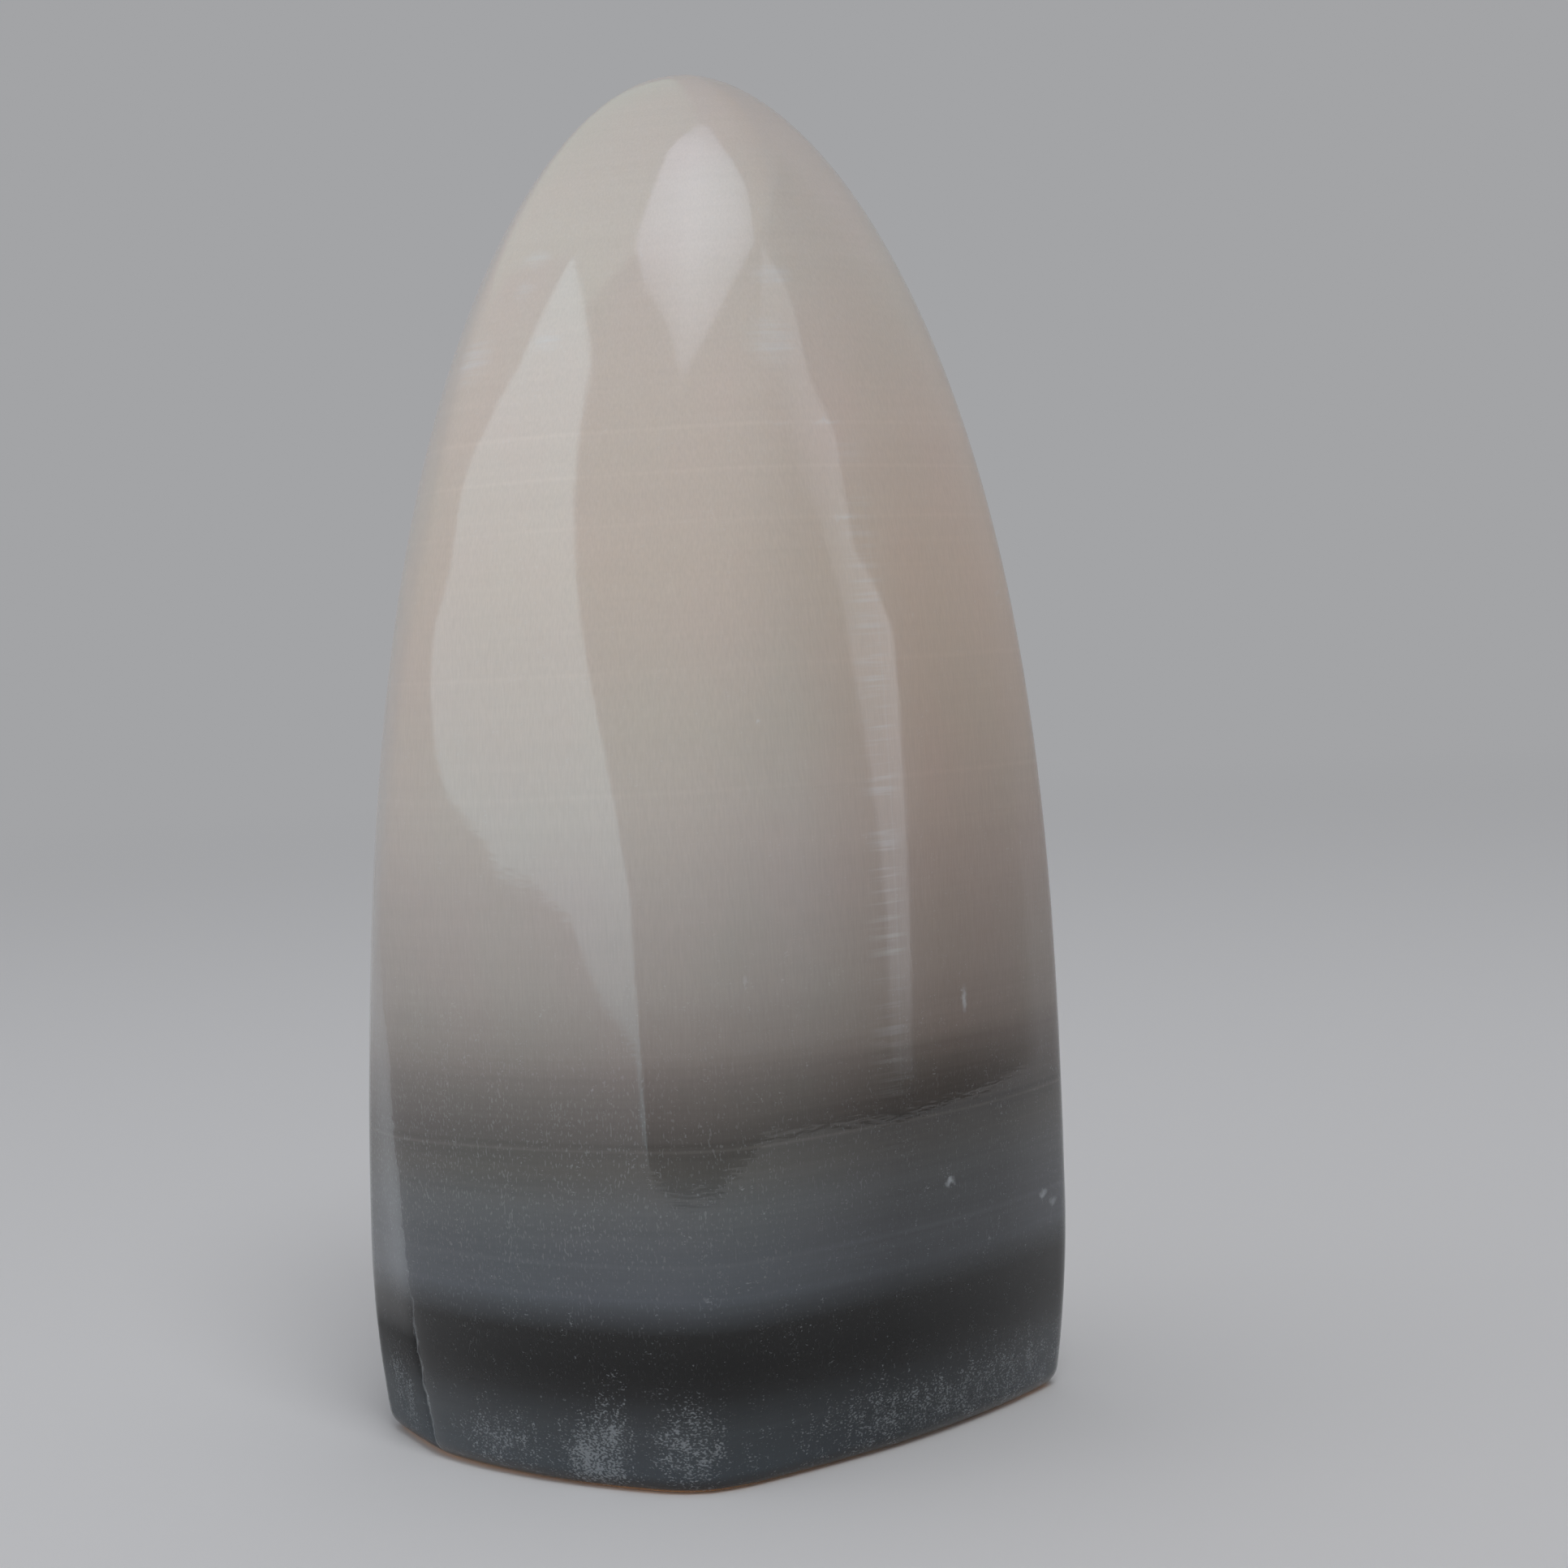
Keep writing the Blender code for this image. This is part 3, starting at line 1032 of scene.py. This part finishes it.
    def mirror_index(self, tree: Tree, at: StonePlaces) -> Socket:
        """The refractive index that gives each point its share of the gloss.

        Args:
            tree: the material's nodes.
            at: where the point lies.

        Returns:
            The index.
        """
        past = add_node(tree, MAP_RANGE, None, self.past_left_ridge.along(at.left_ridge))
        foot = add_node(tree, MAP_RANGE, None, self.dull_foot.along(at.height))
        worn = add_node(tree, MATH, TIMES, {0: past, 1: foot})
        index = add_node(tree, MAP_RANGE, None, Fade(0.0, 1.0, self.ior, self.dull_ior).along(foot))
        return add_node(tree, MATH, TIMES_ADD, {0: worn, 1: self.worn_ior - self.dull_ior, 2: index})

    def relief(self, tree: Tree, at: StonePlaces) -> Socket:
        """The last unevenness of the polish.

        Args:
            tree: the material's nodes.
            at: where the point lies.

        Returns:
            The surface's normal.
        """
        fibre = self.raised_fibres.pattern(tree, at.place)
        ripple = self.ripples.pattern(tree, at.place)
        ripple = add_node(tree, MATH, TIMES_ADD, {0: fibre, 1: self.raised_share, 2: ripple})
        return add_node(tree, "ShaderNodeBump", None,
                        {"Strength": 1.0, "Distance": self.relief_depth, "Height": ripple})

    def whitening(self, tree: Tree, at: StonePlaces, frost: Socket) -> Socket:
        """How much all the marks, the painted ridge highlight and the painted facet reflection
        together lighten the stone.

        Args:
            tree: the material's nodes.
            at: where the point lies.
            frost: how strongly the frosted scuffs show.

        Returns:
            The share of the whitish colour of bruises and of the painted highlight and reflection.
        """
        stripes = self.stripes.pattern(tree, at.place)
        bars = self.marked(tree, at, MarkKind.BARS)
        bars = add_node(tree, MATH, TIMES | CLAMPED, {0: bars, 1: stripes})
        white = self.marked(tree, at, MarkKind.NICK)
        ridges = add_node(tree, MATH, ADD, {0: self.right_ridge_painted_highlight(tree, at),
                                            1: self.left_ridge_reflection_and_chalk(tree, at)})
        for part in (bars, ridges, self.specks(tree, at, frost)):
            white = add_node(tree, MATH, ADD | CLAMPED, {0: white, 1: part})
        return white

    def build(self) -> bpy.types.Material:
        """Make the material.

        Returns:
            The finished material.
        """
        material = bpy.data.materials.new(self.name)
        material.use_nodes = True
        tree = material.node_tree
        shader = tree.nodes["Principled BSDF"]
        shader.inputs["Subsurface Weight"].default_value = self.translucency
        shader.inputs["Subsurface Radius"].default_value = self.light_colour_depth
        shader.inputs["Subsurface Scale"].default_value = self.light_depth
        at = self.places(tree)
        colour = add_node(tree, VECTOR_MATH, {"operation": "SCALE"},
                          {0: self.layer_colour(tree, at), "Scale": self.layer_lift(tree, at)})
        frost = self.marked(tree, at, MarkKind.FROST)
        # Whiten towards that colour for nicks, bars and specks, and for the painted ridge highlight
        # and facet reflection
        marked = add_node(tree, MIX, COLOURS,
                          {SHARE: self.whitening(tree, at, frost), FIRST: colour,
                           SECOND: linear_colour(self.bruise_and_highlight)}, MIXED)
        frosting = Fade(0.0, self.full_frost, self.gloss_roughness, self.frost_roughness)
        rough = add_node(tree, MAP_RANGE, None, frosting.along(frost))
        tree.links.new(marked, shader.inputs["Base Color"])
        tree.links.new(rough, shader.inputs["Roughness"])
        tree.links.new(self.mirror_index(tree, at), shader.inputs["IOR"])
        tree.links.new(self.relief(tree, at), shader.inputs["Normal"])
        return material


@dataclass
class PhotoCamera:
    """The camera, at the height, tilt and roll that the stone's level layers give.

    place: where it stands.
    focal_px, frame_px: its focal length and the picture's width, in pixels of the picture.
    eye_level_px: how far above the middle of the picture its eye level lies.
    sensor: the width of its sensor in millimetres.
    roll: its turn about its own axis in degrees.
    clip: from where to where it sees.
    """

    place: Point = (0.00689, -0.24680, 0.0605)
    focal_px: float = 3900.0
    frame_px: float = 1932.0
    sensor: float = 36.0
    eye_level_px: float = 175.0
    roll: float = 3.2
    clip: tuple[float, float] = (0.01, 20.0)

    def build(self) -> bpy.types.Object:
        """Add the camera and make it the scene's own.

        Returns:
            The camera.
        """
        data = bpy.data.cameras.new("photo_camera")
        data.sensor_width = self.sensor
        data.lens = self.sensor * self.focal_px / self.frame_px
        data.clip_start, data.clip_end = self.clip
        camera = bpy.data.objects.new("photo_camera", data)
        bpy.context.scene.collection.objects.link(camera)
        tilt = math.atan(self.eye_level_px / self.focal_px)
        roll = math.radians(self.roll)
        level_up = Vector((0.0, math.sin(tilt), math.cos(tilt)))
        back = Vector((0.0, -math.cos(tilt), math.sin(tilt)))
        sideways = Vector((1.0, 0.0, 0.0))
        right = sideways * math.cos(roll) - level_up * math.sin(roll)
        up = sideways * math.sin(roll) + level_up * math.cos(roll)
        turned = Matrix((right, up, back)).transposed().to_4x4()
        camera.matrix_world = Matrix.Translation(self.place) @ turned
        bpy.context.scene.camera = camera
        log.info("camera: %.1f mm lens", data.lens)
        return camera


def aim(turn: float, rise: float, reach: float) -> Point:
    """A point in a direction from the stone.

    Args:
        turn: degrees from the front towards the left.
        rise: degrees above level.
        reach: how far away it is.

    Returns:
        The point.
    """
    around, up = math.radians(turn), math.radians(rise)
    return (-math.sin(around) * math.cos(up) * reach, -math.cos(around) * math.cos(up) * reach,
            math.sin(up) * reach)


class Wall(Enum):
    """The flat plane that a card hangs in."""

    LEFT = "left"
    CEILING = "ceiling"

    def corners(self, outline: Outline, reach: float) -> list[Point]:
        """The corners of a card, from the shares of the plane's distance.

        Args:
            outline: shares along the depth and the height, or for the ceiling across and along.
            reach: the plane's distance from the stone.

        Returns:
            The corners.
        """
        if self is Wall.CEILING:
            return [(across * reach, depth * reach, reach) for across, depth in outline]
        return [(-reach, depth * reach, height * reach) for depth, height in outline]


@dataclass(frozen=True)
class LightCard:
    """One card of light, which the polish mirrors or which lights the stone.

    corners, faces: its points, and the faces that they make.
    lights: how bright it is at each point.
    tint: the colour of its light.
    mirrored: whether the polish mirrors it; if not, it takes the place of the room's light.
    """

    name: str
    corners: list[Point]
    lights: list[float]
    faces: list[tuple[int, ...]]
    tint: str = "FFFFFF"
    mirrored: bool = True

    @classmethod
    def graded(cls, name: str, corners: list[Point], axis: str, lights: tuple[float, float],
               tint: str = "FFFFFF") -> "LightCard":
        """A flat card whose light changes evenly along an axis.

        Args:
            name: its name.
            corners: its outline.
            axis: the axis that its light changes along.
            lights: its light at the lower and at the upper end.
            tint: the colour of its light.

        Returns:
            The card.
        """
        places = [corner["XYZ".index(axis)] for corner in corners]
        low, high = min(places), max(places)
        shares = [(place - low) / (high - low) for place in places]
        graded = [lights[0] + (lights[1] - lights[0]) * share for share in shares]
        return cls(name, corners, graded, [tuple(range(len(corners)))], tint)

    @classmethod
    def ribbon(cls, name: str, first: list[Point], second: list[Point], lights: list[float],
               tint: str = "FFFFFF", mirrored: bool = True) -> "LightCard":
        """A card between two edges of as many points each.

        Args:
            name: its name.
            first, second: the points of its two edges.
            lights: how bright it is at each point, of the first edge and then of the second.
            tint: the colour of its light.
            mirrored: whether the polish mirrors it.

        Returns:
            The card.
        """
        count = len(first)
        faces = [(n, n + 1, n + 1 + count, n + count) for n in range(count - 1)]
        return cls(name, first + second, lights, faces, tint, mirrored)

    def glow(self) -> bpy.types.Material:
        """The card's light, as bright as its points say.

        Returns:
            The material that glows.
        """
        material = bpy.data.materials.new(self.name)
        material.use_nodes = True
        tree = material.node_tree
        tree.nodes.clear()
        strength = add_node(tree, "ShaderNodeAttribute", {"attribute_name": LIGHT}, None, "Fac")
        light = add_node(tree, "ShaderNodeEmission", None,
                         {"Color": linear_colour(self.tint), "Strength": strength})
        add_node(tree, "ShaderNodeOutputMaterial", None, {"Surface": light})
        return material

    def build(self) -> bpy.types.Object:
        """Hang the card in the studio, where the camera doesn't see it.

        Returns:
            The card.
        """
        mesh = bpy.data.meshes.new(self.name)
        mesh.from_pydata(self.corners, [], self.faces)
        mesh.attributes.new(LIGHT, "FLOAT", "POINT").data.foreach_set("value", self.lights)
        mesh.materials.append(self.glow())
        card = bpy.data.objects.new(self.name, mesh)
        bpy.context.scene.collection.objects.link(card)
        card.visible_camera = False
        card.visible_shadow = False
        card.visible_glossy = self.mirrored
        card.visible_diffuse = not self.mirrored
        return card


@dataclass(frozen=True)
class SoftLight:
    """A broad soft lamp that lights the stone and the floor but isn't mirrored.

    turn, rise: where it hangs, in degrees from the front towards the left and above level.
    reach: how far away it hangs.
    size: its width.
    power: its power in watts.
    shadow: whether it throws one.
    """

    name: str
    turn: float
    rise: float
    reach: float
    size: float
    power: float
    shadow: bool = True

    def build(self) -> bpy.types.Object:
        """Hang the lamp and turn it towards the stone.

        Returns:
            The lamp.
        """
        data = bpy.data.lights.new(self.name, "AREA")
        data.shape = "DISK"
        data.size = self.size
        data.energy = self.power
        lamp = bpy.data.objects.new(self.name, data)
        bpy.context.scene.collection.objects.link(lamp)
        lamp.location = aim(self.turn, self.rise, self.reach)
        lamp.rotation_euler = Vector(lamp.location).to_track_quat("Z", "Y").to_euler()
        data.use_shadow = self.shadow
        lamp.visible_glossy = False
        lamp.visible_camera = False
        return lamp


@dataclass
class Studio:
    """A plain pale room with soft light, and the cards that the polish mirrors.

    room_light, room_tint: the even light of the room.
    paper, paper_tint: how much light the floor's paper throws back.
    far: how far away the planes of the cards are.
    upper_left_back, dim_back: how much further back two cards hang, behind the others.
    near, beyond: how far away the strip on the right and the dark screen are.
    fade: from where to where the floor fades to the room's own light, so no horizon shows.
    """

    room_light: float = 0.37
    room_tint: Point = (0.99, 1.0, 1.03)
    far: float = 3.0
    near: float = 0.15
    beyond: float = 7.0

    # A tall window on the left, brightest at its top
    window: Outline = (
        (-1.245, 1.348), (-1.435, 1.229), (-1.556, 1.08), (-1.608, 0.942), (-1.62, 0.575),
        (-1.69, 0.394), (-1.547, 0.134), (-1.319, -0.067), (-1.124, -0.3), (-0.6, -0.2),
        (-0.42, -0.05), (-0.262, 0.02), (-0.053, 0.048), (0.01, 0.083), (0.045, 0.133),
        (0.045, 0.195), (-0.05, 0.287), (-0.137, 0.458), (-0.31, 0.68), (-0.461, 0.956),
        (-0.471, 1.407), (-0.825, 1.404))
    window_lights: tuple[float, float] = (1.15, 1.95)
    window_tint: str = "DFF6FF"

    # A lamp overhead between two rims, brightest along the spine in its middle
    left_rim: Outline = (
        (-0.032, -0.034), (-0.193, -0.162), (-0.311, -0.346), (-0.428, -0.517), (-0.422, -0.669),
        (-0.338, -0.872), (-0.306, -1.08))
    spine: Outline = (
        (-0.017, -0.031), (-0.071, -0.188), (-0.129, -0.409), (-0.168, -0.615), (-0.199, -0.742),
        (-0.237, -0.895), (-0.298, -1.082))
    right_rim: Outline = (
        (-0.001, -0.028), (0.054, -0.18), (0.262, -0.358), (0.329, -0.581), (0.057, -0.764),
        (-0.118, -0.92), (-0.291, -1.083))
    left_rim_lights: tuple[float, ...] = (1.0, 2.0, 2.0, 1.7, 1.0, 0.9, 0.9)
    spine_lights: tuple[float, ...] = (1.1, 2.4, 2.9, 2.7, 2.2, 1.6, 1.0)
    right_rim_lights: tuple[float, ...] = (0.9, 1.3, 1.3, 1.1, 1.1, 1.2, 0.9)
    overhead_tint: str = "EAF1FF"

    # A dim pale ceiling to the left of that lamp, and a dimmer warm one to its right
    upper_left: Outline = (
        (-0.032, -0.034), (-0.193, -0.162), (-0.311, -0.346), (-0.425, -0.555), (-0.707, -0.584),
        (-0.705, -0.333), (-0.916, -0.081), (-1.309, 0.448), (-1.309, 1.2), (-0.1, 1.2))
    upper_left_light: float = 0.62
    upper_left_tint: str = "E9FFF2"
    upper_left_back: float = 0.02
    dim: Outline = (
        (0.0, 0.0), (0.017, -0.12), (0.26, -0.387), (0.352, -0.6), (0.52, -0.43), (0.63, -0.24),
        (0.675, 0.0), (0.59, 0.33), (0.3, 0.9))
    dim_light: float = 0.42
    dim_tint: str = "FFF1E4"
    dim_back: float = 0.05

    # The strip on the right: heights, its rear and its front edge, and how bright both are there
    strip: tuple[tuple[float, ...], ...] = (
        (0.0, -0.013, -0.030, 0.3, 0.3),
        (0.007, -0.015, -0.032, 0.4, 0.4),
        (0.015, -0.016, -0.034, 0.9, 0.8),
        (0.027, -0.0175, -0.036, 1.0, 0.9),
        (0.040, -0.019, -0.0405, 1.1, 0.8),
        (0.056, -0.020, -0.046, 1.3, 0.8),
        (0.075, -0.021, -0.0525, 1.35, 0.7),
        (0.085, -0.033, -0.056, 1.3, 0.6),
        (0.095, -0.045, -0.0625, 1.2, 0.45),
        (0.112, -0.048, -0.073, 1.1, 0.3),
        (0.129, -0.047, -0.089, 1.0, 0.25),
        (0.152, -0.060, -0.112, 0.9, 0.2),
        (0.200, -0.066, -0.162, 0.85, 0.2),
        (0.33, -0.147, -0.30, 0.8, 0.2),
        (0.40, -0.19, -0.374, 0.7, 0.2),
    )
    strip_tint: str = "F1F6FF"

    # The dark screen bends round the front and right: its top as turns and rises in degrees
    screen_top: Outline = (
        (60.0, 47.0), (50.0, 47.0), (38.0, 55.0), (20.0, 56.0), (0.0, 56.0), (-20.0, 56.0),
        (-40.0, 56.0), (-60.0, 55.0), (-80.0, 53.0), (-100.0, 51.0), (-119.0, 50.0))
    screen_foot: float = -25.0
    screen_light: float = 0.06
    screen_end_light: float = 0.3

    # A grey wall on the right, which takes light from that side of the stone
    wall_side: float = 1.2
    wall_depths: tuple[float, float] = (-1.6, 2.6)
    wall_height: float = 2.6
    wall_light: float = 0.17

    key_lamp: SoftLight = SoftLight("key_lamp", turn=-15.0, rise=50.0, reach=1.6, size=0.7, power=6.6)
    left_lamp: SoftLight = SoftLight("left_lamp", turn=75.0, rise=15.0, reach=1.6, size=1.0,
                                     power=3.8, shadow=False)

    # The floor, with the edge in front of which the polish doesn't mirror it
    paper: float = 0.86
    paper_tint: Point = (1.0, 1.005, 1.025)
    fade: tuple[float, float] = (0.15, 1.2)
    floor_reach: float = 4.0
    floor_edge: Outline = (
        (-floor_reach, -1.7), (-1.5, -1.03), (-0.457, -0.388), (-0.284, -0.354), (-0.176, -0.215),
        (-0.127, -0.176), (-0.007, -0.189), (0.072, -0.149), (0.115, -0.098), (0.119, -0.055),
        (0.124, -0.027), (0.132, -0.003), (0.138, 0.021), (0.157, 0.08), (floor_reach, 2.2))

    def cards(self) -> list[LightCard]:
        """The bright cards: a window on the left, a lamp overhead and a strip on the right.

        Returns:
            The cards.
        """
        window = Wall.LEFT.corners(self.window, self.far)
        left_rim, spine, right_rim = (Wall.CEILING.corners(edge, self.far)
                                      for edge in (self.left_rim, self.spine, self.right_rim))
        left_lights = [*self.left_rim_lights, *self.spine_lights]
        right_lights = [*self.spine_lights, *self.right_rim_lights]
        upper_left = Wall.CEILING.corners(self.upper_left, self.far + self.upper_left_back)
        heights, rears, fronts, rear_lights, front_lights = zip(*self.strip)
        rear = [(self.near, depth, height) for depth, height in zip(rears, heights)]
        front = [(self.near, depth, height) for depth, height in zip(fronts, heights)]
        return [
            LightCard.graded("window_card", window, "Z", self.window_lights, self.window_tint),
            LightCard.ribbon("overhead_left", left_rim, spine, left_lights, self.overhead_tint),
            LightCard.ribbon("overhead_right", spine, right_rim, right_lights, self.overhead_tint),
            LightCard.graded("upper_left_card", upper_left, "X", (self.upper_left_light,) * 2,
                             self.upper_left_tint),
            LightCard.ribbon("strip_card", rear, front, [*rear_lights, *front_lights],
                             self.strip_tint),
        ]

    def screens(self) -> list[LightCard]:
        """The dark ones: a bent screen round the front and right, a dim patch and a grey wall.

        Returns:
            The cards.
        """
        low = [aim(turn, self.screen_foot, self.beyond) for turn, _ in self.screen_top]
        high = [aim(turn, rise, self.beyond) for turn, rise in self.screen_top]
        shades = [self.screen_light] * (len(self.screen_top) - 1) + [self.screen_end_light]
        dim = Wall.CEILING.corners(self.dim, self.far + self.dim_back)
        foot, head = ([(self.wall_side, depth, height) for depth in self.wall_depths]
                      for height in (0.0, self.wall_height))
        return [
            LightCard.ribbon("dark_screen", low, high, shades + shades),
            LightCard.graded("dim_patch", dim, "X", (self.dim_light,) * 2, self.dim_tint),
            LightCard.ribbon("grey_wall", foot, head, [self.wall_light] * 4, mirrored=False),
        ]

    def room(self) -> None:
        """Fill the room with even light."""
        world = bpy.data.worlds.new("room")
        bpy.context.scene.world = world
        world.use_nodes = True
        background = world.node_tree.nodes["Background"]
        background.inputs[0].default_value = tinted(self.room_light, self.room_tint)

    def floor_finish(self) -> bpy.types.Material:
        """Matt pale paper, which takes a soft shadow and fades to the room's own light.

        Returns:
            The material.
        """
        material = bpy.data.materials.new("pale_paper")
        material.use_nodes = True
        tree = material.node_tree
        tree.nodes.clear()
        matt = add_node(tree, "ShaderNodeBsdfDiffuse", None,
                        {"Color": tinted(self.paper, self.paper_tint)})
        glow = add_node(tree, "ShaderNodeEmission", None,
                        {"Color": tinted(self.room_light, self.room_tint)})
        place = add_node(tree, "ShaderNodeTexCoord", None, None, "Object")
        away = add_node(tree, VECTOR_MATH, {"operation": "LENGTH"}, {0: place}, "Value")
        share = add_node(tree, MAP_RANGE, SMOOTH, Fade(*self.fade).along(away))
        mixed = add_node(tree, "ShaderNodeMixShader", None, {0: share, 1: matt, 2: glow})
        add_node(tree, "ShaderNodeOutputMaterial", None, {"Surface": mixed})
        return material

    def floor(self) -> None:
        """Lay the floor in two parts, of which the polish mirrors only the one beside the stone."""
        reach = self.floor_reach
        rear = [*self.floor_edge, (reach, reach), (-reach, reach)]
        front = [*self.floor_edge[::-1], (-reach, -reach), (reach, -reach)]
        finish = self.floor_finish()
        for name, outline, mirrored in (("floor", rear, True), ("floor_front", front, False)):
            mesh = bpy.data.meshes.new(name)
            mesh.from_pydata([(x, y, 0.0) for x, y in outline], [], [tuple(range(len(outline)))])
            mesh.materials.append(finish)
            part = bpy.data.objects.new(name, mesh)
            bpy.context.scene.collection.objects.link(part)
            part.visible_glossy = mirrored

    def build(self) -> None:
        """Set up the whole studio."""
        cards = [card.build() for card in self.cards() + self.screens()]
        lamps = [lamp.build() for lamp in (self.key_lamp, self.left_lamp)]
        self.room()
        self.floor()
        log.info("studio: %d cards, %d lamps", len(cards), len(lamps))


def main() -> None:
    """Build the stone, the camera and the studio, and set a plain view transform."""
    logging.basicConfig(level=logging.INFO, format="%(message)s")
    PhotoCamera().build()
    CalciteStone().build(PolishedCalcite().build())
    Studio().build()
    bpy.context.scene.view_settings.view_transform = "Standard"


if __name__ == "__main__":
    main()
